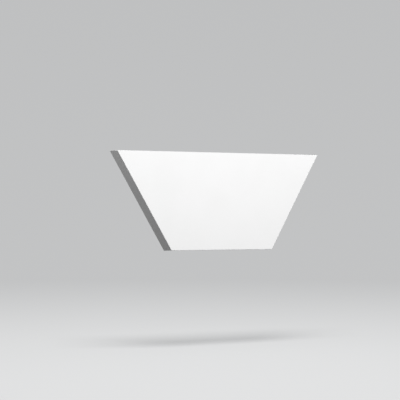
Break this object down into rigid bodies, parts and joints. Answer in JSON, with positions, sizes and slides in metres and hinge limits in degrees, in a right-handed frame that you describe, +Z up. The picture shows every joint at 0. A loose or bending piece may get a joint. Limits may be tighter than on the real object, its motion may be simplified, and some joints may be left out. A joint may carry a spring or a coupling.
{
  "type": "trapezoid wall panel",
  "caption": "Plain white wall panel shaped as half a hexagon, with a smooth flat front that slopes away from its left leg; its flat back is glued to a wall.",
  "frame": {"origin": "middle of the flat back, halfway along the long base and halfway up, on the wall's surface", "axes": "+X along the long base, to the right as seen from the front; +Y into the wall, so the front faces -Y; +Z up, from the short base to the long base"},
  "size_m": [0.3442, 0.0299, 0.1494],
  "materials": {
    "white_primer": "matte white factory primer on moulded rigid polyurethane"
  },
  "bodies": {
    "root": {"trapezoid_panel": "white_primer"}
  },
  "joints": []
}
